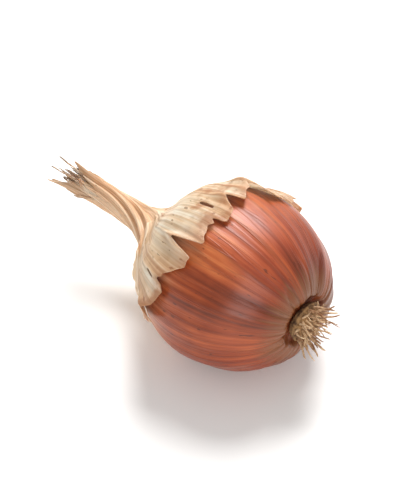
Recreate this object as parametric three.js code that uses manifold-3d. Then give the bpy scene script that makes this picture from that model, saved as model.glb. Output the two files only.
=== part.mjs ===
// A shallot, lying on its side as picked and dried.
// Millimetres, +Z up. The axis of the bulb runs along X: roots towards +X, dried neck towards -X.
// The origin is on the surface that it lies on, under the middle of its box.
import * as THREE from 'three';
import { mergeVertices } from 'three/addons/utils/BufferGeometryUtils.js';
import Module from 'manifold-3d';

const wasm = await Module();
wasm.setup();

// Driving dimensions
const BULB_DIAMETER = 28;
const BULB_LENGTH = 32;
const NECK_DIAMETER = 5.4;
const NECK_LENGTH = 10.5;
const ROOT_PLATE_DIAMETER = 6.4;
const ROOT_LENGTH = 4.6;
const SKIN_THICKNESS = 0.6;
const CLEARANCE = 0.3;

// How the bulb lies
const REST_TILT = THREE.MathUtils.degToRad(2.5);
const REST_SPOT_DEPTH = 0.45;
const UNDERSIDE = -Math.PI / 2;

// Directions in a cross-section: 0 faces the front (-Y), a quarter turn faces up
const QUARTER = Math.PI / 2;

const radius = BULB_DIAMETER / 2;
const neckRadius = NECK_DIAMETER / 2;
const plateRadius = ROOT_PLATE_DIAMETER / 2;
const tipDistance = BULB_LENGTH + NECK_LENGTH;

// Half outline of the bulb, from the middle of the root dimple to the end of the neck.
// x is the distance from the axis, and y the distance along it from the rim round the roots.
const DIMPLE_DEPTH = 0.9;
const NECK_END = 0.7;
const outline = new THREE.CatmullRomCurve3(
  [
    [0, DIMPLE_DEPTH],
    [plateRadius + CLEARANCE, DIMPLE_DEPTH],
    [plateRadius + 1.3, 0],
    [radius * 0.59, BULB_LENGTH * 0.045],
    [radius * 0.87, BULB_LENGTH * 0.19],
    [radius, BULB_LENGTH * 0.43],
    [radius * 0.91, BULB_LENGTH * 0.64],
    [radius * 0.63, BULB_LENGTH * 0.82],
    [radius * 0.36, BULB_LENGTH * 0.94],
    [neckRadius * 1.1, BULB_LENGTH * 1.06],
    [neckRadius * 0.84, BULB_LENGTH + NECK_LENGTH * 0.5],
    [neckRadius * NECK_END, tipDistance],
  ].map(([x, y]) => new THREE.Vector3(x, y, 0)),
  false,
  'centripetal',
);

const smooth = THREE.MathUtils.smoothstep;

/** 0 on the body and 1 on the neck, for a distance along the axis. */
function neckShare(along) {
  return smooth(along, BULB_LENGTH * 0.72, BULB_LENGTH * 1.15);
}

// Unevenness of the body
const OVAL = 0.028;
const THREE_SIDED = 0.016;
const FLAT_SIDE = 0.055;
const FLAT_SIDE_WIDTH = 0.6;
const BELLY = 0.035;
const BELLY_DIRECTION = 0.9;

/** How far the body swells or flattens in one direction, as a share of its radius. */
function lobes(angle) {
  const fromUnderside = Math.atan2(Math.sin(angle - UNDERSIDE), Math.cos(angle - UNDERSIDE));
  const flat = Math.exp(-((fromUnderside / FLAT_SIDE_WIDTH) ** 2));
  const swelling = OVAL * Math.cos(2 * angle - 0.5) + THREE_SIDED * Math.cos(3 * angle + 0.7);
  return swelling + BELLY * Math.cos(angle - BELLY_DIRECTION) - FLAT_SIDE * flat;
}

// Ribs run from the roots to the neck, and deepen into folds where the neck has shrunk
const RIBS = 12;
const RIB_HEIGHT = 0.13;
const SHOULDER_RIB_HEIGHT = 0.3;
const FOLD_HEIGHT = 0.36;
const NECK_OVAL = 0.2;

/** Height of the ribs or folds above the plain surface, in millimetres. */
function ribs(angle, along, plainRadius) {
  const wave = Math.sin(RIBS * angle + 1.3 * Math.sin(2 * angle) + 0.9 * Math.sin(angle + 1));
  const shoulder = smooth(along, BULB_LENGTH * 0.55, BULB_LENGTH * 0.95);
  const body = THREE.MathUtils.lerp(RIB_HEIGHT, SHOULDER_RIB_HEIGHT, shoulder);
  const height = THREE.MathUtils.lerp(body, FOLD_HEIGHT, neckShare(along));
  return height * wave * Math.min(1, plainRadius / neckRadius);
}

// The neck leans towards the front and rises, and its folds wind round it
const NECK_SWAY = 3.2;
const NECK_RISE = 4;
const NECK_TWIST = 1.5;
const BEND_START = BULB_LENGTH * 0.7;
const BEND_LENGTH = tipDistance - BEND_START;

/** Places a point given by its distance along the axis, its direction round it and its distance from it. */
function place(along, angle, distance) {
  const bend = Math.max(0, along - BEND_START) / BEND_LENGTH;
  const centre = new THREE.Vector3(-along, -NECK_SWAY * bend ** 2, NECK_RISE * bend ** 2);
  const slope = (2 * bend) / BEND_LENGTH;
  const forward = new THREE.Vector3(-1, -NECK_SWAY * slope, NECK_RISE * slope).normalize();
  const side = new THREE.Vector3(0, 0, 1).cross(forward).normalize();
  const up = forward.clone().cross(side);
  const turned = angle + NECK_TWIST * smooth(along, BULB_LENGTH * 0.8, tipDistance);
  return centre
    .addScaledVector(side, distance * Math.cos(turned))
    .addScaledVector(up, distance * Math.sin(turned))
    .applyAxisAngle(new THREE.Vector3(0, 1, 0), -REST_TILT);
}

/** A point on the bulb, or lifted off it: s runs from 0 at the roots to 1 at the end of the neck. */
function onBulb(s, angle, lift = 0) {
  const { x: plain, y } = outline.getPointAt(s);
  const { x: outward, y: forward } = outline.getTangentAt(s);
  const onNeck = neckShare(y);
  const uneven = THREE.MathUtils.lerp(lobes(angle), NECK_OVAL * Math.cos(2 * angle), onNeck);
  const distance = plain * (1 + uneven) + ribs(angle, y, plain) + lift * forward;
  return place(y - lift * outward, angle, distance);
}

/** A closed mesh from numbered vertices and triangles. */
function geometryOf(vertices, triangles) {
  const geometry = new THREE.BufferGeometry();
  geometry.setAttribute('position', new THREE.Float32BufferAttribute(vertices.flatMap((v) => v.toArray()), 3));
  geometry.setIndex(triangles.flat());
  return geometry;
}

/** A tube that closes on a point at each end. Each ring is a function that places a vertex in a direction. */
function closedTube(rings, sides, start, end) {
  const vertices = [start];
  for (const ring of rings) {
    for (let side = 0; side < sides; side += 1) vertices.push(ring((side / sides) * 2 * Math.PI));
  }
  vertices.push(end);
  const last = vertices.length - 1;
  const index = (ring, side) => 1 + ring * sides + (side % sides);
  const triangles = [];
  for (let side = 0; side < sides; side += 1) {
    triangles.push([0, index(0, side + 1), index(0, side)]);
    triangles.push([last, index(rings.length - 1, side), index(rings.length - 1, side + 1)]);
    for (let ring = 0; ring < rings.length - 1; ring += 1) {
      const [a, b] = [index(ring, side), index(ring, side + 1)];
      const [c, d] = [index(ring + 1, side + 1), index(ring + 1, side)];
      triangles.push([a, b, c], [a, c, d]);
    }
  }
  return geometryOf(vertices, triangles);
}

/** Evenly spaced shares from 0 to 1, both included. */
function shares(count) {
  return Array.from({ length: count }, (_, i) => i / (count - 1));
}

/** A thin sheet with an inner and an outer face split alike. at(u, v, face) places a vertex; face 1 is outside. */
function sheet(columns, rows, at) {
  const vertices = [];
  for (const face of [0, 1]) {
    for (let row = 0; row <= rows; row += 1) {
      for (let column = 0; column <= columns; column += 1) {
        vertices.push(at(column / columns, row / rows, face));
      }
    }
  }
  const index = (column, row, face) => (face * (rows + 1) + row) * (columns + 1) + column;
  const triangles = [];
  for (let row = 0; row < rows; row += 1) {
    for (let column = 0; column < columns; column += 1) {
      for (const face of [0, 1]) {
        const [a, b] = [index(column, row, face), index(column + 1, row, face)];
        const [c, d] = [index(column + 1, row + 1, face), index(column, row + 1, face)];
        triangles.push(...(face ? [[a, c, b], [a, d, c]] : [[a, b, c], [a, c, d]]));
      }
    }
  }
  const wall = (from, to) => {
    const [a, b, c, d] = [index(...from, 0), index(...to, 0), index(...to, 1), index(...from, 1)];
    triangles.push([a, c, b], [a, d, c]);
  };
  for (let column = 0; column < columns; column += 1) {
    wall([column, 0], [column + 1, 0]);
    wall([column + 1, rows], [column, rows]);
  }
  for (let row = 0; row < rows; row += 1) {
    wall([columns, row], [columns, row + 1]);
    wall([0, row + 1], [0, row]);
  }
  return geometryOf(vertices, triangles);
}

/** The solid inside a closed mesh, with vertices that stand in one place made one. */
function solidOf(geometry) {
  geometry.deleteAttribute('normal');
  geometry.deleteAttribute('uv');
  const { attributes, index } = mergeVertices(geometry, 1e-4);
  const triangles = [];
  for (let i = 0; i < index.count; i += 3) {
    const corners = [index.getX(i), index.getX(i + 1), index.getX(i + 2)];
    if (new Set(corners).size === 3) triangles.push(...corners);
  }
  const vertProperties = new Float32Array(attributes.position.array);
  return new wasm.Manifold(new wasm.Mesh({ numProp: 3, vertProperties, triVerts: new Uint32Array(triangles) }));
}

/** Joins closed meshes that reach into each other into one. */
function joined(geometries) {
  const { vertProperties, triVerts } = geometries.map(solidOf).reduce((whole, part) => whole.add(part)).getMesh();
  const geometry = new THREE.BufferGeometry();
  geometry.setAttribute('position', new THREE.Float32BufferAttribute(vertProperties, 3));
  geometry.setIndex([...triVerts]);
  return geometry;
}

/** Seeded draws from 0 to 1, so that every run gives the same shallot. */
function draws(seed) {
  let state = seed;
  return () => {
    state = (state * 16807) % 2147483647;
    return state / 2147483647;
  };
}

// Shreds: torn ends of the dried leaves round the end of the neck
const SHREDS = 6;
const SHRED_LENGTH = 8;
const SHRED_THICKNESS = 0.62;
const SHRED_FLARE = 1.6;
const PIT_RADIUS = 0.45;
const PIT_DEPTH = 1.2;
const SHORTEST_SHRED = 0.7;

const draw = draws(17);
const shreds = Array.from({ length: SHREDS }, (_, i) => ({
  direction: ((i + 0.3 * draw()) / SHREDS) * 2 * Math.PI,
  length: SHRED_LENGTH * (0.4 + 0.6 * draw()),
  flare: SHRED_FLARE * draw() ** 1.5,
}));

/** The shred that stands in a direction, and how far it reaches there past the end of the neck. */
function shredAt(angle) {
  const turnFrom = ({ direction }) => Math.abs(Math.atan2(Math.sin(angle - direction), Math.cos(angle - direction)));
  const shred = shreds.reduce((best, other) => (turnFrom(other) < turnFrom(best) ? other : best));
  const share = Math.max(0, 1 - (turnFrom(shred) * SHREDS) / Math.PI);
  return { flare: shred.flare, reach: SHORTEST_SHRED + shred.length * share ** 0.8 };
}

/** A point on the shreds: up is 0 at the neck and 1 at the torn end, and inside is 0 or 1 for the two faces. */
function onShred(angle, up, inside) {
  const { flare, reach } = shredAt(angle);
  const along = tipDistance + reach * up;
  const height = (reach * up) / SHRED_LENGTH;
  const oval = 1 + NECK_OVAL * Math.cos(2 * angle);
  const outer = neckRadius * NECK_END * oval + ribs(angle, along, neckRadius) + flare * height ** 1.6;
  const thickness = THREE.MathUtils.lerp(1.5 * SHRED_THICKNESS, SHRED_THICKNESS, up);
  return place(along, angle, outer - inside * thickness);
}

// Body and neck
const BODY_RINGS = 40;
const BODY_SIDES = 60;

const floor = onBulb(0.36, UNDERSIDE).z + REST_SPOT_DEPTH;

/** Keeps a point of the bulb on or above the surface that it lies on. */
function rested(point) {
  return point.setZ(Math.max(point.z, floor));
}

/** The swollen body, flattened where it lies, its folded neck, and the shreds round a small pit. */
function bulb() {
  const skin = shares(BODY_RINGS + 1).slice(1).map((s) => (angle) => rested(onBulb(s, angle)));
  const outside = [0.3, 0.6, 0.82, 1].map((up) => (angle) => onShred(angle, up, 0));
  const inside = [1, 0.7, 0.3].map((up) => (angle) => onShred(angle, up, 1));
  const pit = (angle) => place(tipDistance - PIT_DEPTH, angle, PIT_RADIUS);
  const pitFloor = place(tipDistance - PIT_DEPTH, 0, 0);
  return closedTube([...skin, ...outside, ...inside, pit], BODY_SIDES, onBulb(0, 0), pitFloor);
}

// Torn outer leaf: it clasps the neck and hangs over the shoulder, split along its veins, with a ragged hem
const SKIN_COLUMNS = 64;
const SKIN_ROWS = 18;
const SKIN_MIDDLE = QUARTER + 0.1;
const SKIN_SPAN_NECK = 2.8;
const SKIN_SPAN_BODY = 3.9;
const SKIN_TOP = 0.83;
const HEM = [0.55, 0.46, 0.44, 0.4, 0.41, 0.42, 0.38, 0.41, 0.43, 0.53];
const SPLITS = [[0.12, 0.05], [0.31, 0.09], [0.47, 0.04], [0.56, 0.06], [0.72, 0.11], [0.87, 0.06]];
const SPLIT_HALF_WIDTH = 0.021;
const CURL = 1.3;

/** A zigzag between -1 and 1. */
function zigzag(x) {
  return 4 * Math.abs(x - Math.floor(x + 0.5)) - 1;
}

/** How deep in a split a place across the leaf is: 0 outside it and 1 in its middle. */
function inSplit(u, middle, halfWidth) {
  return Math.max(0, 1 - Math.abs(u - middle) / halfWidth);
}

/** Where the torn hem is along the bulb, for a share of the way across the leaf. */
function hemAt(u) {
  const across = u * (HEM.length - 1);
  const i = Math.min(Math.floor(across), HEM.length - 2);
  const plain = THREE.MathUtils.lerp(HEM[i], HEM[i + 1], smooth(across - i, 0, 1));
  const torn = SPLITS.reduce((sum, [middle, depth]) => sum + depth * inSplit(u, middle, SPLIT_HALF_WIDTH), 0);
  return plain + torn + 0.013 * zigzag(6.3 * u + 0.2) + 0.011 * zigzag(12.7 * u + 0.7);
}

/** The dried outer leaf, wrapped round the bulb a little clear of it. */
function tornSkin() {
  const at = (u, v, face) => {
    const span = THREE.MathUtils.lerp(SKIN_SPAN_NECK, SKIN_SPAN_BODY, smooth(v, 0, 0.5));
    const sideTear = 0.07 * zigzag(3.3 * v + 0.2) + 0.04 * zigzag(7.1 * v);
    const angle = SKIN_MIDDLE + (u - 0.5) * span + sideTear * (2 * u - 1);
    const s = THREE.MathUtils.lerp(SKIN_TOP, hemAt(u), v);
    const besideSplit = Math.max(...SPLITS.map(([middle]) => inSplit(u, middle, 2.5 * SPLIT_HALF_WIDTH)));
    const hemCurl = smooth(v, 0.72, 1) ** 2 * (0.2 + 0.8 * besideSplit);
    const sideCurl = smooth(Math.abs(2 * u - 1), 0.82, 1) ** 2 * Math.sin(Math.PI * v) ** 2;
    const lift = CLEARANCE + CURL * Math.max(hemCurl, 0.8 * sideCurl);
    return onBulb(s, angle, lift + face * SKIN_THICKNESS);
  };
  return sheet(SKIN_COLUMNS, SKIN_ROWS, at);
}

// Roots
const ROOTS = 18;
const ROOT_THICKNESS = 0.78;
const ROOT_STEPS = 5;
const ROOT_SIDES = 5;
const PLATE_THICKNESS = 1.6;
const PLATE_DOME = 0.3;
const PLATE_SIDES = 18;

/** The corky plate that the roots grow from, sitting in the dimple. */
function rootPlate() {
  const front = DIMPLE_DEPTH - CLEARANCE - PLATE_THICKNESS;
  const back = DIMPLE_DEPTH - CLEARANCE;
  const outlinePoints = [
    [front, plateRadius * 0.7],
    [(front + back) / 2, plateRadius],
    [back, plateRadius * 0.9],
  ];
  const rings = outlinePoints.map(([along, distance]) => (angle) => (
    place(along, angle, distance * (1 + 0.05 * Math.sin(3 * angle + 1)))
  ));
  return closedTube(rings, PLATE_SIDES, place(front - PLATE_DOME, 0, 0), place(back, 0, 0));
}

/** One dried root, tapering along a curve from the plate. */
function root(curve, thickness) {
  const rings = shares(ROOT_STEPS).map((share) => {
    const centre = curve.getPointAt(share);
    const forward = curve.getTangentAt(share);
    const side = new THREE.Vector3(0, 0, 1).cross(forward).normalize();
    const up = forward.clone().cross(side);
    const half = (thickness / 2) * (1 - 0.45 * share);
    return (angle) => centre.clone()
      .addScaledVector(side, half * Math.cos(angle))
      .addScaledVector(up, half * Math.sin(angle));
  });
  return closedTube(rings, ROOT_SIDES, curve.getPointAt(0), curve.getPointAt(1));
}

/** The dried roots, spread over the plate by the golden angle and bent at random. */
function roots() {
  const goldenAngle = Math.PI * (3 - Math.sqrt(5));
  const sunk = DIMPLE_DEPTH - CLEARANCE - PLATE_THICKNESS * 0.5;
  return Array.from({ length: ROOTS }, (_, i) => {
    const distance = plateRadius * 0.85 * Math.sqrt((i + 0.5) / ROOTS);
    const angle = i * goldenAngle;
    const length = ROOT_LENGTH * (0.55 + 0.45 * draw());
    const spread = distance * (0.75 + 0.25 * draw());
    const bend = 0.5 * (draw() - 0.5);
    const curve = new THREE.QuadraticBezierCurve3(
      place(sunk, angle, distance),
      place(sunk - length * 0.65, angle, distance + spread * 0.3),
      place(sunk - length, angle + bend, distance + spread),
    );
    return root(curve, ROOT_THICKNESS * (0.8 + 0.4 * draw()));
  });
}

// Materials
const copperSkin = new THREE.MeshStandardMaterial({ color: 0xb9653b, roughness: 0.45, metalness: 0 });
const strawSkin = new THREE.MeshStandardMaterial({ color: 0xcfa46e, roughness: 0.65, metalness: 0 });
const driedRoot = new THREE.MeshStandardMaterial({ color: 0x9a8260, roughness: 0.9, metalness: 0 });

/** A named mesh of one piece of the shallot. */
function piece(name, geometry, material) {
  const mesh = new THREE.Mesh(geometry, material);
  mesh.name = name;
  return mesh;
}

const shallot = new THREE.Group();
shallot.add(
  piece('bulb', bulb(), copperSkin),
  piece('torn_skin', tornSkin(), strawSkin),
  piece('root_tuft', joined([rootPlate(), ...roots()]), driedRoot),
);

const box = new THREE.Box3().setFromObject(shallot);
const middle = box.getCenter(new THREE.Vector3());
shallot.position.set(-middle.x, -middle.y, -floor);

export default shallot;
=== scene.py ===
# A shallot lying on its side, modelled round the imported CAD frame.
# Lengths are in millimetres, as in the CAD source. MM turns them into Blender's metres.
import math
import random

import bpy
from mathutils import Matrix, Vector, noise


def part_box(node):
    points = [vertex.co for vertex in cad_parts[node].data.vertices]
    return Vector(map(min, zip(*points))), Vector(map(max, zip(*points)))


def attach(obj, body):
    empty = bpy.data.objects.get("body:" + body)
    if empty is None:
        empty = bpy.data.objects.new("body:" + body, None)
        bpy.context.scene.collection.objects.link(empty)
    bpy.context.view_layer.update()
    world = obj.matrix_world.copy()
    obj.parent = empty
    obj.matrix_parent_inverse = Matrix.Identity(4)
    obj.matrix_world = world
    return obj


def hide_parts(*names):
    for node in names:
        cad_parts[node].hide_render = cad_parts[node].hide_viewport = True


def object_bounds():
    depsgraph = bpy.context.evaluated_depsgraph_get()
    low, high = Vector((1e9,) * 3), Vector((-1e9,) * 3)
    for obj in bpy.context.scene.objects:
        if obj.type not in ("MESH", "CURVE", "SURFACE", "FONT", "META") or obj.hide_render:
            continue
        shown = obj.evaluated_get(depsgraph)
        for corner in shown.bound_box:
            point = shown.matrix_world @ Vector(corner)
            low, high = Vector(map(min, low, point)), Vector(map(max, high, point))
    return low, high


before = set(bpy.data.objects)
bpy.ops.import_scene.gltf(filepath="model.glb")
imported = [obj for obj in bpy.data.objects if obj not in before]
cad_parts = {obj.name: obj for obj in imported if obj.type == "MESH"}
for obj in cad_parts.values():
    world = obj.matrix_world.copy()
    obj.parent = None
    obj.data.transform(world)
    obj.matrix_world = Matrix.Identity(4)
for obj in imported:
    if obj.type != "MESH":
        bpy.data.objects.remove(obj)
cad_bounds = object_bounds()

MM = 0.001
TAU = 2 * math.pi

# The bulb's sizes and unevenness, with the names and values of the CAD source
BULB_DIAMETER = 28
BULB_LENGTH = 32
NECK_DIAMETER = 5.4
NECK_LENGTH = 10.5
ROOT_PLATE_DIAMETER = 6.4
ROOT_LENGTH = 4.6
CLEARANCE = 0.3
REST_TILT = math.radians(2.5)
REST_SPOT_DEPTH = 0.45
UNDERSIDE = -math.pi / 2
DIMPLE_DEPTH = 0.9
NECK_END = 0.7
OVAL = 0.028
THREE_SIDED = 0.016
FLAT_SIDE = 0.055
FLAT_SIDE_WIDTH = 0.6
BELLY = 0.035
BELLY_DIRECTION = 0.9
RIBS = 12
RIB_HEIGHT = 0.13
SHOULDER_RIB_HEIGHT = 0.3
FOLD_HEIGHT = 0.36
NECK_OVAL = 0.2
NECK_SWAY = 3.2
NECK_RISE = 4
NECK_TWIST = 1.5

RADIUS = BULB_DIAMETER / 2
NECK_RADIUS = NECK_DIAMETER / 2
PLATE_RADIUS = ROOT_PLATE_DIAMETER / 2
TIP = BULB_LENGTH + NECK_LENGTH
BEND_START = BULB_LENGTH * 0.7
BEND_LENGTH = TIP - BEND_START

OUTLINE = [
    (0, DIMPLE_DEPTH),
    (PLATE_RADIUS + CLEARANCE, DIMPLE_DEPTH),
    (PLATE_RADIUS + 1.3, 0),
    (RADIUS * 0.59, BULB_LENGTH * 0.045),
    (RADIUS * 0.87, BULB_LENGTH * 0.19),
    (RADIUS, BULB_LENGTH * 0.43),
    (RADIUS * 0.91, BULB_LENGTH * 0.64),
    (RADIUS * 0.63, BULB_LENGTH * 0.82),
    (RADIUS * 0.36, BULB_LENGTH * 0.94),
    (NECK_RADIUS * 1.1, BULB_LENGTH * 1.06),
    (NECK_RADIUS * 0.84, BULB_LENGTH + NECK_LENGTH * 0.5),
    (NECK_RADIUS * NECK_END, TIP),
]
OUTLINE_STEPS = 1200
CURVE_STEPS = 200


def lerp(a, b, share):
    return a + (b - a) * share


def smooth(x, low, high):
    share = min(1.0, max(0.0, (x - low) / (high - low)))
    return share * share * (3 - 2 * share)


def outline_curve():
    """Points evenly spaced along the centripetal curve through OUTLINE, as (radius, distance along)."""
    points = [Vector(p) for p in OUTLINE]
    points = [points[0] * 2 - points[1], *points, points[-1] * 2 - points[-2]]
    curve = []
    for p0, p1, p2, p3 in zip(points, points[1:], points[2:], points[3:]):
        d0, d1, d2 = (math.sqrt((b - a).length) for a, b in ((p0, p1), (p1, p2), (p2, p3)))
        start = ((p1 - p0) / d0 - (p2 - p0) / (d0 + d1) + (p2 - p1) / d1) * d1
        end = ((p2 - p1) / d1 - (p3 - p1) / (d1 + d2) + (p3 - p2) / d2) * d1
        for step in range(CURVE_STEPS):
            t = step / CURVE_STEPS
            curve.append(
                p1
                + start * t
                + (p2 * 3 - p1 * 3 - start * 2 - end) * t**2
                + (p1 * 2 - p2 * 2 + start + end) * t**3
            )
    curve.append(points[-2])
    lengths = [0.0]
    for a, b in zip(curve, curve[1:]):
        lengths.append(lengths[-1] + (b - a).length)
    spaced, i = [], 0
    for step in range(OUTLINE_STEPS + 1):
        wanted = lengths[-1] * step / OUTLINE_STEPS
        while i < len(curve) - 2 and lengths[i + 1] < wanted:
            i += 1
        span = max(lengths[i + 1] - lengths[i], 1e-9)
        spaced.append(curve[i].lerp(curve[i + 1], (wanted - lengths[i]) / span))
    return spaced


outline = outline_curve()


def on_outline(s):
    """(radius, distance along, outward, forward) at a share of the way from the roots to the neck's end."""
    place_in = min(max(s, 0.0), 1.0) * OUTLINE_STEPS
    i = min(int(place_in), OUTLINE_STEPS - 1)
    point = outline[i].lerp(outline[i + 1], place_in - i)
    tangent = (outline[i + 1] - outline[i]).normalized()
    return point.x, point.y, tangent.x, tangent.y


def neck_share(along):
    return smooth(along, BULB_LENGTH * 0.72, BULB_LENGTH * 1.15)


def turn_between(a, b):
    """The angle from b to a, between a half turn each way."""
    return math.atan2(math.sin(a - b), math.cos(a - b))


def lobes(angle):
    flat = math.exp(-((turn_between(angle, UNDERSIDE) / FLAT_SIDE_WIDTH) ** 2))
    swelling = OVAL * math.cos(2 * angle - 0.5) + THREE_SIDED * math.cos(3 * angle + 0.7)
    return swelling + BELLY * math.cos(angle - BELLY_DIRECTION) - FLAT_SIDE * flat


def ribs(angle, along, plain_radius):
    wave = math.sin(RIBS * angle + 1.3 * math.sin(2 * angle) + 0.9 * math.sin(angle + 1))
    shoulder = smooth(along, BULB_LENGTH * 0.55, BULB_LENGTH * 0.95)
    body = lerp(RIB_HEIGHT, SHOULDER_RIB_HEIGHT, shoulder)
    height = lerp(body, FOLD_HEIGHT, neck_share(along))
    return height * wave * min(1.0, plain_radius / NECK_RADIUS)


TILT = Matrix.Rotation(-REST_TILT, 3, "Y")


def place(along, angle, distance):
    """A point by its distance along the bulb's bent axis, its direction round it and distance from it."""
    bend = max(0.0, along - BEND_START) / BEND_LENGTH
    centre = Vector((-along, -NECK_SWAY * bend**2, NECK_RISE * bend**2))
    slope = 2 * bend / BEND_LENGTH
    forward = Vector((-1, -NECK_SWAY * slope, NECK_RISE * slope)).normalized()
    side = Vector((0, 0, 1)).cross(forward).normalized()
    up = forward.cross(side)
    turned = angle + NECK_TWIST * smooth(along, BULB_LENGTH * 0.8, TIP)
    return TILT @ (centre + side * (distance * math.cos(turned)) + up * (distance * math.sin(turned)))


def on_bulb(s, angle, lift=0.0):
    """A point on the bulb, or lifted off it."""
    plain, along, outward, forward = on_outline(s)
    uneven = lerp(lobes(angle), NECK_OVAL * math.cos(2 * angle), neck_share(along))
    distance = plain * (1 + uneven) + ribs(angle, along, plain) + lift * forward
    return place(along - lift * outward, angle, distance)


# Where the bulb touches the floor, and the rings of points that the CAD source draws it with
LOWEST_SHARE = 0.36
BODY_RINGS = 40
BODY_SIDES = 60
FLOOR = on_bulb(LOWEST_SHARE, UNDERSIDE).z + REST_SPOT_DEPTH


def shift_to_frame():
    """How far the bulb is moved to the CAD frame, whose origin is under the middle of the whole box."""
    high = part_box("bulb")[1]
    shares = [i / BODY_RINGS for i in range(1, BODY_RINGS + 1)]
    ring_points = [on_bulb(s, j / BODY_SIDES * TAU) for s in shares for j in range(BODY_SIDES)]
    right = max(p.x for p in ring_points)
    back = max(p.y for p in ring_points)
    return Vector((high.x / MM - right, high.y / MM - back, -FLOOR))


SHIFT = shift_to_frame()

# Shreds round the neck's end, drawn as in the CAD source
SHREDS = 6
SHRED_LENGTH = 8
SHRED_THICKNESS = 0.62
SHRED_FLARE = 1.6
PIT_RADIUS = 0.45
PIT_DEPTH = 1.2
SHORTEST_SHRED = 0.7
TORN_END_THICKNESS = 0.16


def draws(seed):
    state = seed
    while True:
        state = state * 16807 % 2147483647
        yield state / 2147483647


draw = draws(17)
shreds = []
for i in range(SHREDS):
    shreds.append(
        {
            "direction": (i + 0.3 * next(draw)) / SHREDS * TAU,
            "length": SHRED_LENGTH * (0.4 + 0.6 * next(draw)),
            "flare": SHRED_FLARE * next(draw) ** 1.5,
        }
    )


def on_shred(angle, up, inside):
    """A point on the shreds: up runs from 0 at the neck to 1 at the torn end."""
    shred = min(shreds, key=lambda x: abs(turn_between(angle, x["direction"])))
    share = max(0.0, 1 - abs(turn_between(angle, shred["direction"])) * SHREDS / math.pi)
    reach = SHORTEST_SHRED + shred["length"] * share**0.8
    reach *= 1 + 0.22 * streaks(angle, 0, 4, 9, 5) + 0.2 * streaks(angle, 0, 1.6, 9, 5)
    along = TIP + reach * up
    height = reach * up / SHRED_LENGTH
    oval = 1 + NECK_OVAL * math.cos(2 * angle)
    outer = NECK_RADIUS * NECK_END * oval + ribs(angle, along, NECK_RADIUS) + shred["flare"] * height**1.6
    outer += relief(angle, along, NECK_RADIUS)
    thickness = lerp(1.5 * SHRED_THICKNESS, TORN_END_THICKNESS, up**0.5)
    return place(along, angle, outer - inside * thickness)


# Relief: the fine unevenness of dry skin that the CAD leaves out


def streaks(angle, along, across, length, seed=0.0):
    """Noise drawn out along the bulb. across and length are a streak's size at the widest part."""
    k = RADIUS / across
    return noise.noise(Vector((math.cos(angle) * k, math.sin(angle) * k, along / length + seed * 7.3)))


VEINS = 44
LEAF_VEINS = 58


def vein_at(angle, along, count):
    """1 on a vein and 0 between two of them. Veins run from the roots to the neck, unevenly spaced."""
    wander = 1.1 * noise.noise(Vector((math.cos(angle) * 3, math.sin(angle) * 3, along / 16)))
    phase = count * angle + 3 * math.sin(2 * angle + 1) + 2 * math.sin(5 * angle) + 2.4 * wander
    strength = 0.65 + 0.7 * streaks(angle, along, 2.2, 30, 12)
    return max(0.0, min(1.0, strength)) * (0.5 + 0.5 * math.cos(phase)) ** 5


def creases(angle, along, across, length, seed):
    """Narrow grooves, from 0 to 1."""
    return max(0.0, 1 - 4 * abs(streaks(angle, along, across, length, seed))) ** 2


def relief(angle, along, plain_radius):
    neck = neck_share(along)
    root = 1 - smooth(along, 0.3, 4.5)
    dents = 0.34 * noise.noise(Vector((math.cos(angle) * 1.5, math.sin(angle) * 1.5, along / 9 + 3)))
    body = dents + 0.1 * streaks(angle, along, 3.4, 34, 1) + 0.04 * streaks(angle, along, 1.5, 26, 2)
    veins = 0.055 * vein_at(angle, along, VEINS)
    folds = 0.32 * streaks(angle, along, 9, 14, 4) + 0.14 * streaks(angle, along, 4, 10, 5)
    folds -= 0.3 * creases(angle, along, 7, 26, 13) + 0.12 * creases(angle, along, 3.4, 18, 14)
    puckers = 0.2 * streaks(angle, along, 3, 6, 6) - 0.3 * creases(angle, along, 5, 9, 15)
    height = lerp(body + veins, folds, neck) + root * puckers
    return height * min(1.0, plain_radius / NECK_RADIUS)


# Modelling


def deselect_all():
    bpy.ops.object.select_all(action="DESELECT")


def select_only(*pieces):
    deselect_all()
    for piece in pieces:
        piece.select_set(True)
    bpy.context.view_layer.objects.active = pieces[0]


def shaped_grid(name, columns, rows, at):
    """A grid primitive whose points are moved to at(u, v), with u across it and v along it from 0 to 1.
    at gives the place, and what the material reads: the place on the unrolled skin, the share of a vein
    and the share of the way to a torn edge."""
    deselect_all()
    bpy.ops.mesh.primitive_grid_add(x_subdivisions=columns, y_subdivisions=rows, size=1)
    piece = bpy.context.object
    piece.name = piece.data.name = name
    piece.data.attributes.new("grain", "FLOAT_VECTOR", "POINT")
    for pattern in ("vein", "edge"):
        piece.data.attributes.new(pattern, "FLOAT", "POINT")
    grain, vein, edge = (piece.data.attributes[x].data for x in ("grain", "vein", "edge"))
    for vertex in piece.data.vertices:
        u, v, i = vertex.co.x + 0.5, vertex.co.y + 0.5, vertex.index
        vertex.co, grain[i].vector, vein[i].value, edge[i].value = at(u, v)
    return piece


def merged(piece, distance=0.004):
    """Merges points that coincide, such as a grid's seam and poles, and drops faces without area."""
    select_only(piece)
    bpy.ops.object.mode_set(mode="EDIT")
    bpy.ops.mesh.select_all(action="SELECT")
    bpy.ops.mesh.remove_doubles(threshold=distance * MM)
    bpy.ops.mesh.dissolve_degenerate(threshold=1e-7)
    bpy.ops.object.mode_set(mode="OBJECT")
    bpy.ops.object.shade_smooth()
    return piece


def closed(piece):
    """Merges a grid that closes on itself, and turns its faces outwards."""
    merged(piece)
    bpy.ops.object.mode_set(mode="EDIT")
    bpy.ops.mesh.select_all(action="SELECT")
    bpy.ops.mesh.normals_make_consistent(inside=False)
    bpy.ops.object.mode_set(mode="OBJECT")
    return piece


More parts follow.
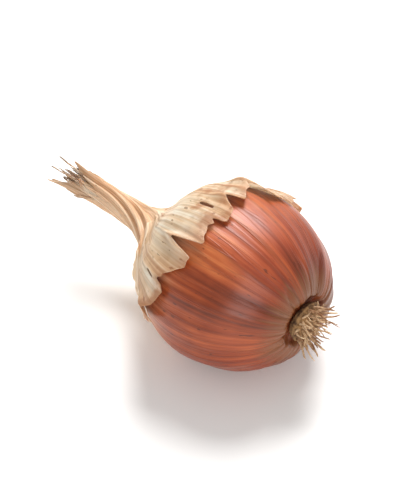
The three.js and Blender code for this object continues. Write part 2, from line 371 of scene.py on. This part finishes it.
def solidified(piece, thickness):
    """Gives a sheet its thickness, outwards."""
    select_only(piece)
    modifier = piece.modifiers.new("thickness", "SOLIDIFY")
    modifier.thickness = thickness * MM
    modifier.offset = 1
    bpy.ops.object.modifier_apply(modifier=modifier.name)
    bpy.ops.object.shade_smooth()
    return piece


def grain_of(angle, along):
    """Where a point is on the skin unrolled on a cylinder, in millimetres, which its pattern follows."""
    return Vector((RADIUS * math.cos(angle), RADIUS * math.sin(angle), along))


# Bulb and neck
BULB_COLUMNS = 400
BULB_ROWS = 190
BULB_SKIN_SHARE = 0.84
# How the last rows run: their share, the way up the shreds, and whether on the outside or the inside
SHRED_STAGES = [
    (0.00, 0, 0),
    (0.48, 1, 0),
    (0.60, 1, 1),
    (0.92, 0.15, 1),
]


def bulb_at(u, v):
    angle = u * TAU
    if v <= BULB_SKIN_SHARE:
        s = v / BULB_SKIN_SHARE
        plain, along = on_outline(s)[:2]
        point = on_bulb(s, angle, relief(angle, along, plain))
        point.z = max(point.z, FLOOR)
        return (point + SHIFT) * MM, grain_of(angle, along), vein_at(angle, along, VEINS), 0
    share = (v - BULB_SKIN_SHARE) / (1 - BULB_SKIN_SHARE)
    if share >= SHRED_STAGES[-1][0]:
        deep = (share - SHRED_STAGES[-1][0]) / (1 - SHRED_STAGES[-1][0])
        along = lerp(TIP + 0.2, TIP - PIT_DEPTH, deep)
        point = place(along, angle, lerp(PIT_RADIUS * 1.2, 0, deep**2))
        return (point + SHIFT) * MM, grain_of(angle, along), 0, 1
    for (start, up0, in0), (end, up1, in1) in zip(SHRED_STAGES, SHRED_STAGES[1:]):
        if share < end:
            t = (share - start) / (end - start)
            up, inside = lerp(up0, up1, t), lerp(in0, in1, t)
            break
    point = on_shred(angle, up, inside)
    return (point + SHIFT) * MM, grain_of(angle, TIP + SHRED_LENGTH * up), vein_at(angle, TIP, VEINS), up


bulb = closed(shaped_grid("bulb_skin", BULB_COLUMNS, BULB_ROWS, bulb_at))

# Torn outer leaf over the shoulder
SKIN_COLUMNS = 340
SKIN_ROWS = 150
SKIN_MIDDLE = math.pi / 2 + 0.1
SKIN_SPAN_NECK = 2.8
SKIN_SPAN_BODY = 3.9
SKIN_SPAN_WIDEST = 4.3
SKIN_TOP = 0.83
SKIN_LOWEST = 0.33
HEM = [0.55, 0.46, 0.44, 0.4, 0.41, 0.42, 0.38, 0.41, 0.43, 0.53]
SPLITS = [(0.12, 0.05), (0.31, 0.09), (0.47, 0.04), (0.56, 0.06), (0.72, 0.11), (0.87, 0.06)]
SPLIT_HALF_WIDTH = 0.021
# Small tears of the hem, too fine for the solid
NICKS = [(0.06, 0.03), (0.205, 0.022), (0.4, 0.025), (0.645, 0.04), (0.79, 0.03)]
NICK_HALF_WIDTH = 0.009
# Slits torn along the veins: place across and along the leaf, half width and half length
SLITS = [
    (0.2, 0.86, 0.005, 0.07),
    (0.43, 0.8, 0.005, 0.1),
    (0.49, 0.62, 0.0045, 0.06),
    (0.64, 0.84, 0.0045, 0.1),
    (0.8, 0.7, 0.0055, 0.11),
]
CURL = 1.3
LEAF_THICKNESS = 0.12
EDGE_HALVINGS = 10
ON_LEAF, AT_EDGE, OFF_LEAF = range(3)


def zigzag(x):
    return 4 * abs(x - math.floor(x + 0.5)) - 1


def in_split(u, middle, half_width):
    return max(0.0, 1 - abs(u - middle) / half_width)


def ragged(x, seed):
    """Fine unevenness of a torn edge, between about -1 and 1."""
    broad = noise.noise(Vector((x * 14, seed, 0)))
    fine = noise.noise(Vector((x * 48, seed, 4)))
    return 0.6 * broad + 0.5 * fine


def hem_at(u):
    across = u * (len(HEM) - 1)
    i = min(int(across), len(HEM) - 2)
    torn = sum(depth * in_split(u, middle, SPLIT_HALF_WIDTH) for middle, depth in SPLITS)
    torn += sum(depth * in_split(u, middle, NICK_HALF_WIDTH) for middle, depth in NICKS)
    torn += 0.013 * zigzag(6.3 * u + 0.2) + 0.011 * zigzag(12.7 * u + 0.7) + 0.014 * ragged(u, 1)
    return lerp(HEM[i], HEM[i + 1], smooth(across - i, 0, 1)) + torn


def side_at(v):
    """The angle from the leaf's middle to its side, before and after it is torn."""
    plain = lerp(SKIN_SPAN_NECK, SKIN_SPAN_BODY, smooth(v, 0, 0.5)) / 2 + 0.07 * zigzag(3.3 * v + 0.2)
    return plain, plain + 0.04 * zigzag(7.1 * v) + 0.04 * ragged(v, 2)


HEM_SPAN = 2 * side_at(1)[1]


def leaf_place(column, row):
    """(angle from the leaf's middle, share of the way along the bulb, place across the hem from 0 to 1,
    share of the way to the hem) at a point of the grid. Columns run along the veins."""
    turn = (column - 0.5) * SKIN_SPAN_WIDEST
    s = lerp(SKIN_TOP, SKIN_LOWEST, row)
    u = min(1.0, max(0.0, 0.5 + turn / HEM_SPAN))
    return turn, s, u, (SKIN_TOP - s) / (SKIN_TOP - hem_at(u))


def on_leaf(column, row):
    if not (0 <= column <= 1 and 0 <= row <= 1):
        return False
    turn, s, u, v = leaf_place(column, row)
    wobble = 1 + 0.35 * noise.noise(Vector((u * 60, v * 22, 0)))
    slits = (abs(u - x) / half_width + ((v - y) / length) ** 2 for x, y, half_width, length in SLITS)
    return v <= 1 and abs(turn) <= side_at(v)[1] and min(slits) > wobble


def edge_towards(column, row, across, along):
    """Where the leaf ends between a grid point off it and the neighbour on it."""
    off, on = 0.0, 1.0
    for _ in range(EDGE_HALVINGS):
        t = (off + on) / 2
        if on_leaf(column + across * t / SKIN_COLUMNS, row + along * t / SKIN_ROWS):
            on = t
        else:
            off = t
    return Vector((column + across * on / SKIN_COLUMNS, row + along * on / SKIN_ROWS))


def fitted_to_leaf(column, row):
    """A grid point, which is moved to the leaf's torn edge if it is just off the leaf, and its state."""
    if on_leaf(column, row):
        return (column, row), ON_LEAF
    straight, diagonal = ((1, 0), (-1, 0), (0, 1), (0, -1)), ((1, 1), (1, -1), (-1, 1), (-1, -1))
    for steps in (straight, diagonal):
        edges = [
            edge_towards(column, row, across, along)
            for across, along in steps
            if on_leaf(column + across / SKIN_COLUMNS, row + along / SKIN_ROWS)
        ]
        if edges:
            return tuple(sum(edges, Vector((0, 0))) / len(edges)), AT_EDGE
    return (column, row), OFF_LEAF


leaf_grid = {
    (i, j): fitted_to_leaf(i / SKIN_COLUMNS, j / SKIN_ROWS)
    for i in range(SKIN_COLUMNS + 1)
    for j in range(SKIN_ROWS + 1)
}


def in_leaf_grid(u, v):
    return leaf_grid[round(u * SKIN_COLUMNS), round(v * SKIN_ROWS)]


def soft_max(a, b, blend=0.12):
    """The larger of two numbers, going over smoothly from one to the other."""
    return (a + b + math.hypot(a - b, blend)) / 2


def torn_skin_at(column, row):
    turn, s, u, v = leaf_place(*in_leaf_grid(column, row)[0])
    angle = SKIN_MIDDLE + turn
    plain, along = on_outline(s)[:2]
    beside_split = max(in_split(u, middle, 2.5 * SPLIT_HALF_WIDTH) for middle, _ in SPLITS)
    hem_curl = smooth(v, 0.72, 1) ** 2 * (0.2 + 0.8 * beside_split)
    side_curl = smooth(abs(turn) / side_at(v)[0], 0.82, 1) ** 2 * math.sin(math.pi * min(v, 1)) ** 2
    girth = min(1.0, plain / RADIUS)
    pleats = 0.22 * streaks(angle, along, 3.2, 22, 8) + 0.1 * streaks(angle, along, 1.2, 14, 9)
    buckles = 0.35 * smooth(v, 0.3, 1) * noise.noise(Vector((u * 9, v * 2.4, 11)))
    lift = 0.5 + pleats * girth + buckles + CURL * max(hem_curl, 0.8 * side_curl)
    lift = soft_max(lift, 0.16) * smooth(v, 0.02, 0.34)
    lift += relief(angle, along, plain) - 0.3 * (1 - smooth(v, 0, 0.2))
    point = on_bulb(s, angle, lift)
    return (point + SHIFT) * MM, grain_of(angle, along), vein_at(angle, along, LEAF_VEINS), v


def torn_to_shape(piece):
    """Deletes the faces of the grid that are off the leaf, so that its torn edges and slits are left."""
    select_only(piece)
    bpy.ops.object.mode_set(mode="EDIT")
    bpy.ops.mesh.select_mode(type="FACE")
    bpy.ops.mesh.select_all(action="DESELECT")
    bpy.ops.object.mode_set(mode="OBJECT")
    uv = piece.data.uv_layers[0].data
    for face in piece.data.polygons:
        states = [in_leaf_grid(*uv[i].uv)[1] for i in face.loop_indices]
        face.select = max(states) == OFF_LEAF or min(states) == AT_EDGE
    bpy.ops.object.mode_set(mode="EDIT")
    bpy.ops.mesh.delete(type="FACE")
    bpy.ops.object.mode_set(mode="OBJECT")
    return merged(piece)


torn_skin = torn_to_shape(shaped_grid("torn_outer_leaf", SKIN_COLUMNS, SKIN_ROWS, torn_skin_at))
solidified(torn_skin, LEAF_THICKNESS)

# Dry leaf ends that stand in the neck's mouth
LEAF_ENDS = 18
LEAF_END_THICKNESS = 0.09
leaf_random = random.Random(5)


def leaf_end(number):
    """One torn leaf end, curved round the neck and ragged at its tip."""
    direction = number / LEAF_ENDS * TAU + leaf_random.uniform(-0.2, 0.2)
    start_distance = leaf_random.uniform(0.5, 1.45)
    length = leaf_random.uniform(2.4, 7.4) if number % 3 else leaf_random.uniform(2.0, 4.2)
    width = leaf_random.uniform(0.7, 1.4) if number % 3 else leaf_random.uniform(2.0, 3.2)
    flare = leaf_random.uniform(0.0, 1.1)
    twist = leaf_random.uniform(-0.7, 0.7)
    curl = leaf_random.uniform(-0.5, 1.0)
    seed = leaf_random.uniform(0, 50)

    def at(u, v):
        along = TIP - 1.6 + (length + 1.6) * v
        along += 1.1 * noise.noise(Vector((u * 7, seed, 2))) * v**3
        distance = start_distance + flare * v**1.7 + curl * v**4
        distance += 0.16 * noise.noise(Vector((u * 4, v * 5, seed)))
        narrowing = (1 - 0.7 * v**1.6) * (1 + 0.25 * noise.noise(Vector((v * 6, seed, u))))
        angle = direction + (u - 0.5) * width * narrowing / (0.6 + distance) + twist * v
        point = place(along, angle, distance)
        return (point + SHIFT) * MM, grain_of(direction + u * 0.3, along), 0, v

    return shaped_grid(f"leaf_end_{number}", 12, 26, at)


def joined(name, pieces):
    select_only(*pieces)
    if len(pieces) > 1:
        bpy.ops.object.join()
    piece = bpy.context.object
    piece.name = piece.data.name = name
    return piece


leaf_ends = joined("neck_leaf_ends", [leaf_end(i) for i in range(LEAF_ENDS)])
solidified(leaf_ends, LEAF_END_THICKNESS)

# Root plate
PLATE_THICKNESS = 1.6
PLATE_DOME = 0.3
PLATE_COLUMNS = 96
PLATE_ROWS = 30
PLATE_FRONT = DIMPLE_DEPTH - CLEARANCE - PLATE_THICKNESS
PLATE_BACK = DIMPLE_DEPTH - CLEARANCE
PLATE_OUTLINE = [
    (PLATE_FRONT - PLATE_DOME, 0),
    (PLATE_FRONT, PLATE_RADIUS * 0.7),
    ((PLATE_FRONT + PLATE_BACK) / 2, PLATE_RADIUS),
    (PLATE_BACK, PLATE_RADIUS * 0.9),
    (PLATE_BACK, 0),
]


def plate_at(u, v):
    angle = u * TAU
    segment = min(int(v * 4), 3)
    t = v * 4 - segment
    (along0, d0), (along1, d1) = PLATE_OUTLINE[segment], PLATE_OUTLINE[segment + 1]
    along, distance = lerp(along0, along1, t), lerp(d0, d1, t)
    distance *= 1 + 0.05 * math.sin(3 * angle + 1)
    across = Vector((math.cos(angle), math.sin(angle), 0)) * distance
    corky = noise.fractal((across + Vector((0, 0, along))) * 2, 0.8, 2, 4)
    rough = 0.16 * corky * min(1.0, distance)
    point = place(along - rough, angle, distance + rough)
    return (point + SHIFT) * MM, grain_of(angle, along), 0, 0


plate = closed(shaped_grid("root_plate", PLATE_COLUMNS, PLATE_ROWS, plate_at))

# Dried roots: a few are extruded, and copied over the plate
ROOT_KINDS = 5
ROOT_KIND_LENGTH = 10
ROOT_STEPS = 9
ROOT_COUNT = 62
ROOT_SINK = 0.4
root_random = random.Random(3)


def root_kind(number):
    """One root along +X from the origin, extruded step by step with a bend at each."""
    deselect_all()
    bpy.ops.mesh.primitive_circle_add(vertices=6, radius=1, fill_type="NGON", rotation=(0, math.pi / 2, 0))
    bpy.ops.object.transform_apply(location=False, rotation=True, scale=False)
    piece = bpy.context.object
    piece.name = f"root_kind_{number}"
    bpy.ops.object.mode_set(mode="EDIT")
    bpy.ops.mesh.select_all(action="SELECT")
    centre = Vector((0, 0, 0))
    heading = Vector((1, 0, 0))
    width = 1.0
    for step in range(ROOT_STEPS):
        swing = 0.2 + 0.25 * step / ROOT_STEPS
        heading += Vector((0, root_random.uniform(-swing, swing), root_random.uniform(-swing, swing)))
        heading.normalize()
        move = heading * (ROOT_KIND_LENGTH / ROOT_STEPS)
        bpy.ops.mesh.extrude_region_move(TRANSFORM_OT_translate={"value": move, "orient_type": "GLOBAL"})
        centre += move
        thinner = 0.93 * root_random.uniform(0.92, 1.08)
        width *= thinner
        bpy.ops.transform.resize(value=(thinner, thinner, thinner), center_override=centre)
    bpy.ops.transform.resize(value=(0.4, 0.4, 0.4), center_override=centre)
    bpy.ops.mesh.select_all(action="SELECT")
    bpy.ops.mesh.normals_make_consistent(inside=False)
    bpy.ops.object.mode_set(mode="OBJECT")
    bpy.ops.object.shade_smooth()
    return piece


root_kinds = [root_kind(i) for i in range(ROOT_KINDS)]
GOLDEN_ANGLE = math.pi * (3 - math.sqrt(5))


def planted_root(number):
    """A copy of one root, thinned, turned and set on the plate."""
    kind = root_kinds[number % ROOT_KINDS]
    root = kind.copy()
    root.data = kind.data.copy()
    bpy.context.scene.collection.objects.link(root)
    distance = PLATE_RADIUS * 0.88 * math.sqrt((number + 0.5) / ROOT_COUNT)
    angle = number * GOLDEN_ANGLE
    length = ROOT_LENGTH * root_random.uniform(0.35, 0.95)
    half = root_random.uniform(0.1, 0.26)
    start = place(PLATE_FRONT + ROOT_SINK, angle, distance)
    spread = distance * root_random.uniform(0.6, 1.05)
    tip_angle = angle + root_random.uniform(-0.35, 0.35)
    end = place(PLATE_FRONT + ROOT_SINK - length, tip_angle, distance + spread)
    facing = (end - start).to_track_quat("X", "Z").to_matrix().to_4x4()
    roll = Matrix.Rotation(root_random.uniform(0, TAU), 4, "X")
    size = Matrix.Diagonal((length / ROOT_KIND_LENGTH, half, half, 1))
    root.data.transform(Matrix.Translation(start + SHIFT) @ facing @ roll @ size)
    root.data.transform(Matrix.Diagonal((MM, MM, MM, 1)))
    root.name = f"root_{number}"
    return root


roots = joined("dried_roots", [planted_root(i) for i in range(ROOT_COUNT)])
for kind in root_kinds:
    bpy.data.objects.remove(kind)

# Materials


def linear(hex_colour):
    """An sRGB hex colour as linear RGBA."""
    channels = [int(hex_colour[i : i + 2], 16) / 255 for i in (1, 3, 5)]
    return (*[c / 12.92 if c <= 0.04045 else ((c + 0.055) / 1.055) ** 2.4 for c in channels], 1)


def set_inputs(tree, node, inputs):
    """Gives a node's sockets, named or in order, a value or a link to another node's output."""
    for name, value in inputs.items() if isinstance(inputs, dict) else enumerate(inputs):
        if isinstance(value, bpy.types.NodeSocket):
            tree.links.new(value, node.inputs[name])
        else:
            node.inputs[name].default_value = linear(value) if isinstance(value, str) else value


def add(tree, kind, inputs=(), output=None, stops=(), **settings):
    """Adds a node with its settings and links, and returns one of its outputs, or else the first in use.
    stops holds the places and colours of a ramp."""
    node = tree.nodes.new("ShaderNode" + kind)
    for name, value in settings.items():
        setattr(node, name, value)
    set_inputs(tree, node, inputs)
    for i, (position, colour) in enumerate(stops):
        while len(node.color_ramp.elements) <= i:
            node.color_ramp.elements.new(1)
        node.color_ramp.elements[i].position = position
        node.color_ramp.elements[i].color = linear(colour)
    return node.outputs[output] if output else next(o for o in node.outputs if o.enabled)


def new_material(name):
    material = bpy.data.materials.new(name)
    material.use_nodes = True
    return material, material.node_tree, material.node_tree.nodes["Principled BSDF"]


SMOOTH = {"interpolation_type": "SMOOTHSTEP"}
SUM = {"operation": "MULTIPLY_ADD"}
TIMES = {"operation": "MULTIPLY"}
COLOURS = {"data_type": "RGBA"}
# A streak and a freckle are this many times longer along the bulb than across it
STREAK = 22
FRECKLE = 2.2
COPPER = [(0.46, "#5E2610"), (0.54, "#8E3C1A"), (0.62, "#B0552A"), (0.7, "#CE7641"), (0.8, "#E29E6C")]
STRAW = [(0.42, "#AC7950"), (0.5, "#D3A780"), (0.58, "#E8C7A5"), (0.7, "#F7E4CC")]


def copper_skin():
    """Dry outer skin: satin copper brown with darker lengthwise veins, which gives it its glow and its
    streaks. It is paler and more orange towards the neck, and bleached to straw on it."""
    material, tree, shader = new_material("dry_copper_shallot_skin")
    grain = add(tree, "Attribute", output="Vector", attribute_name="grain")
    vein = add(tree, "Attribute", output="Fac", attribute_name="vein")
    along = add(tree, "SeparateXYZ", (grain,), output="Z")
    drawn = add(tree, "Mapping", {"Vector": grain, "Scale": (1, 1, 1 / STREAK)})
    dashes = add(tree, "Mapping", {"Vector": grain, "Scale": (1, 1, 1 / FRECKLE)})
    # Noise scales are one over the size of a patch or streak in millimetres. Real hair lines and grit are
    # 0.1 mm and less, and are drawn coarser so that they show
    rosy = add(tree, "TexNoise", {"Vector": grain, "Scale": 1 / 14, "Detail": 2})
    cloud = add(tree, "TexNoise", {"Vector": grain, "Scale": 1 / 9, "Detail": 3})
    broad = add(tree, "TexNoise", {"Vector": drawn, "Scale": 1 / 2.5, "Detail": 3})
    fine = add(tree, "TexNoise", {"Vector": drawn, "Scale": 1 / 0.67, "Detail": 3, "Roughness": 0.6})
    hair = add(tree, "TexNoise", {"Vector": drawn, "Scale": 1 / 0.9, "Detail": 1})
    speck = add(tree, "TexNoise", {"Vector": dashes, "Scale": 1 / 0.7, "Detail": 1})
    grit = add(tree, "TexNoise", {"Vector": grain, "Scale": 1 / 0.17, "Detail": 3, "Roughness": 0.6})
    hairline = add(tree, "ValToRGB", (hair,), stops=[(0.46, "#000000"), (0.5, "#FFFFFF"), (0.54, "#000000")])

    tone = 0.07
    for pattern, weight in ((broad, 0.34), (fine, 0.22), (cloud, 0.28), (along, 0.0085)):
        tone = add(tree, "Math", (pattern, weight, tone), **SUM)
    straw_tone = 0.02
    for pattern, weight in ((broad, 0.38), (fine, 0.38), (cloud, 0.34)):
        straw_tone = add(tree, "Math", (pattern, weight, straw_tone), **SUM)
    near = add(tree, "Math", (fine, 5, along), **SUM)
    uneven = add(tree, "Math", (broad, 16, near), **SUM)

    straw = add(tree, "ValToRGB", (straw_tone,), stops=STRAW)
    straw_vein = add(tree, "Math", (vein, 0.45), **TIMES)
    straw = add(tree, "Mix", {"Factor": straw_vein, "A": straw, "B": "#8A5A33"}, **COLOURS)
    to_neck = add(tree, "MapRange", (uneven, 23.5, 41.5), **SMOOTH)
    layers = (
        (add(tree, "MapRange", (rosy, 0.45, 0.65, 0, 0.25), **SMOOTH), "#97402F"),
        (add(tree, "Math", (hairline, 0.3), **TIMES), "#6E2B10"),
        (add(tree, "Math", (vein, 0.46), **TIMES), "#571F0B"),
        (to_neck, straw),
        (add(tree, "MapRange", (along, TIP + 1, TIP + 7, 0, 0.5)), "#8A6340"),
        (add(tree, "MapRange", (near, 2.2, 4.6, 0.85, 0), **SMOOTH), "#835230"),
        (add(tree, "MapRange", (speck, 0.71, 0.77, 0, 0.6), **SMOOTH), "#3E1D0E"),
    )
    colour = add(tree, "ValToRGB", (tone,), stops=COPPER)
    for share, layer in layers:
        colour = add(tree, "Mix", {"Factor": share, "A": colour, "B": layer}, **COLOURS)

    wear = add(tree, "Math", (fine, 0.7, add(tree, "Math", (cloud, 0.5), **TIMES)), **SUM)
    satin = add(tree, "MapRange", (wear, 0.45, 0.75, 0.3, 0.46))
    height = 0.0
    for pattern, weight in ((hairline, 0.4), (fine, 1.0), (grit, 0.15)):
        height = add(tree, "Math", (pattern, weight, height), **SUM)
    set_inputs(
        tree,
        shader,
        {
            "Base Color": colour,
            "Roughness": add(tree, "Math", (to_neck, 0.2, satin), **SUM),
            "Normal": add(tree, "Bump", {"Height": height, "Strength": 0.6, "Distance": 0.00013}),
            "Specular IOR Level": 0.38,
            "Coat Weight": 0.14,
            "Coat Roughness": 0.26,
            "Subsurface Weight": 0.05,
            "Subsurface Radius": (1.0, 0.4, 0.2),
            "Subsurface Scale": 0.001,
        },
    )
    return material


def straw_skin(name, browned):
    """Dead outer leaf, as thin as paper: dull bleached straw with brown veins, freckles and stained torn
    edges. Light shines through it, so its shaded side glows."""
    material, tree, shader = new_material(name)
    grain = add(tree, "Attribute", output="Vector", attribute_name="grain")
    vein = add(tree, "Attribute", output="Fac", attribute_name="vein")
    to_edge = add(tree, "Attribute", output="Fac", attribute_name="edge")
    drawn = add(tree, "Mapping", {"Vector": grain, "Scale": (1, 1, 1 / (2 * STREAK))})
    dashes = add(tree, "Mapping", {"Vector": grain, "Scale": (1, 1, 1 / FRECKLE)})
    cloud = add(tree, "TexNoise", {"Vector": grain, "Scale": 1 / 5, "Detail": 3})
    stain = add(tree, "TexNoise", {"Vector": grain, "Scale": 1 / 7, "Detail": 4, "Roughness": 0.65})
    broad = add(tree, "TexNoise", {"Vector": drawn, "Scale": 1 / 2, "Detail": 3})
    fine = add(tree, "TexNoise", {"Vector": drawn, "Scale": 1 / 0.55, "Detail": 3, "Roughness": 0.6})
    freckle = add(tree, "TexNoise", {"Vector": dashes, "Scale": 1 / 0.8, "Detail": 2})
    grit = add(tree, "TexNoise", {"Vector": grain, "Scale": 1 / 0.25, "Detail": 3})

    tone = 0.0
    for pattern, weight in ((broad, 0.38), (fine, 0.38), (cloud, 0.34)):
        tone = add(tree, "Math", (pattern, weight, tone), **SUM)
    torn = add(tree, "Math", (cloud, 0.55, to_edge), **SUM)
    # Near the neck, which the leaf grows out of and lies on, its veins are fainter and no light gets through
    vein_share = add(tree, "MapRange", (to_edge, 0, 0.35, 0.15, 0.5))
    stained = add(tree, "Math", (to_edge, 0.12, stain), **SUM)
    layers = (
        (add(tree, "Math", (vein, vein_share), **TIMES), "#8A5A33"),
        (add(tree, "MapRange", (stained, 0.59, 0.71, 0, 0.7), **SMOOTH), "#9C6236"),
        (add(tree, "MapRange", (freckle, 0.64, 0.71, 0, 0.75), **SMOOTH), "#7E4C24"),
        (add(tree, "MapRange", (torn, 1.1, 1.36, 0, 0.7), **SMOOTH), "#94623A"),
        (browned, "#775330"),
    )
    colour = add(tree, "ValToRGB", (tone,), stops=STRAW)
    for share, layer in layers:
        colour = add(tree, "Mix", {"Factor": share, "A": colour, "B": layer}, **COLOURS)

    height = 0.0
    for pattern, weight in ((vein, 0.9), (fine, 1.0), (grit, 0.3)):
        height = add(tree, "Math", (pattern, weight, height), **SUM)
    set_inputs(
        tree,
        shader,
        {
            "Base Color": colour,
            "Roughness": 0.55,
            "Normal": add(tree, "Bump", {"Height": height, "Strength": 0.65, "Distance": 0.00015}),
            "Subsurface Weight": add(tree, "MapRange", (to_edge, 0.04, 0.4, 0.05, 0.8), **SMOOTH),
            "Subsurface Radius": (1.0, 0.97, 0.93),
            "Subsurface Scale": 0.0008,
        },
    )
    return material


def rooty(name, dark, light, patch_size, fibre_size, roughness):
    """Cork of the root plate or a dried root: matt, patchy and fibrous, so that it takes no shine."""
    material, tree, shader = new_material(name)
    place_m = add(tree, "TexCoord", output="Object")
    patch = add(tree, "TexNoise", {"Vector": place_m, "Scale": 1 / (patch_size * MM), "Detail": 3})
    fibre = add(tree, "TexNoise", {"Vector": place_m, "Scale": 1 / (fibre_size * MM), "Detail": 3})
    mixed = add(tree, "Math", (patch, 0.7, add(tree, "Math", (fibre, 0.3), **TIMES)), **SUM)
    share = add(tree, "MapRange", (mixed, 0.36, 0.62), **SMOOTH)
    set_inputs(
        tree,
        shader,
        {
            "Base Color": add(tree, "Mix", {"Factor": share, "A": dark, "B": light}, **COLOURS),
            "Roughness": roughness,
            "Normal": add(tree, "Bump", {"Height": fibre, "Strength": 0.6, "Distance": 0.00015}),
        },
    )
    return material


def pale_floor():
    """Matt white board near the shallot, which goes over into an evenly white backdrop."""
    material, tree, shader = new_material("white_studio_board")
    set_inputs(tree, shader, {"Base Color": "#FAF9F7", "Roughness": 0.8})
    place_m = add(tree, "TexCoord", output="Object")
    distance = add(tree, "VectorMath", (place_m,), output="Value", operation="LENGTH")
    far = add(tree, "MapRange", (distance, 0.06, 0.22), **SMOOTH)
    backdrop = add(tree, "Emission", ("#FFFFFF", 1.0))
    surface = add(tree, "MixShader", (far, shader.outputs["BSDF"], backdrop))
    tree.links.new(surface, tree.nodes["Material Output"].inputs["Surface"])
    return material


bulb.data.materials.append(copper_skin())
torn_skin.data.materials.append(straw_skin("bleached_outer_leaf", 0.0))
leaf_ends.data.materials.append(straw_skin("dead_leaf_end", 0.25))
plate.data.materials.append(rooty("corky_root_plate", "#4E3520", "#A07A50", 1.2, 0.4, 0.92))
roots.data.materials.append(rooty("dried_root_fibre", "#8A5E3C", "#DDBD96", 2.4, 0.4, 0.85))

# Ride, replace
for piece in (bulb, torn_skin, leaf_ends, plate, roots):
    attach(piece, "root")
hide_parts("bulb")
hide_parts("bulb")
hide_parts("torn_skin")
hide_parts("root_tuft")
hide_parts("root_tuft")

# Floor
deselect_all()
bpy.ops.mesh.primitive_plane_add(size=6)
floor = bpy.context.object
floor.name = "floor"
floor.data.materials.append(pale_floor())

# Light
bpy.context.scene.view_settings.view_transform = "Standard"
world = bpy.data.worlds.new("studio")
bpy.context.scene.world = world
world.use_nodes = True
sky = world.node_tree
# The backdrop is white, and what it sheds on the shallot is softer
ray = add(sky, "LightPath", output="Is Camera Ray")
strength = add(sky, "MapRange", (ray, 0, 1, 0.5, 1))
set_inputs(sky, sky.nodes["Background"], {"Color": "#FFFFFF", "Strength": strength})


def soft_box(name, location, target, size, power):
    light = bpy.data.objects.new(name, bpy.data.lights.new(name, "AREA"))
    light.data.shape = "DISK"
    light.data.size = size
    light.data.energy = power
    light.location = location
    light.rotation_euler = (Vector(target) - Vector(location)).to_track_quat("-Z", "Y").to_euler()
    bpy.context.scene.collection.objects.link(light)


middle = (cad_bounds[0] + cad_bounds[1]) / 2
soft_box("key", (-0.12, 0.2, 0.34), middle, 0.22, 2.1)
soft_box("fill", (0.3, -0.25, 0.2), middle, 0.3, 0.75)

# Camera
AZIMUTH = math.radians(45)
ELEVATION = math.radians(42)
CAMERA_DISTANCE = 0.185
camera = bpy.data.objects.new("camera", bpy.data.cameras.new("camera"))
bpy.context.scene.collection.objects.link(camera)
bpy.context.scene.camera = camera
camera.data.lens = 85
back = Vector(
    (
        math.sin(AZIMUTH) * math.cos(ELEVATION),
        -math.cos(AZIMUTH) * math.cos(ELEVATION),
        math.sin(ELEVATION),
    )
)
aim = middle + Vector((0.001, 0, -0.001))
camera.location = aim + back * CAMERA_DISTANCE
camera.rotation_euler = (-back).to_track_quat("-Z", "Y").to_euler()
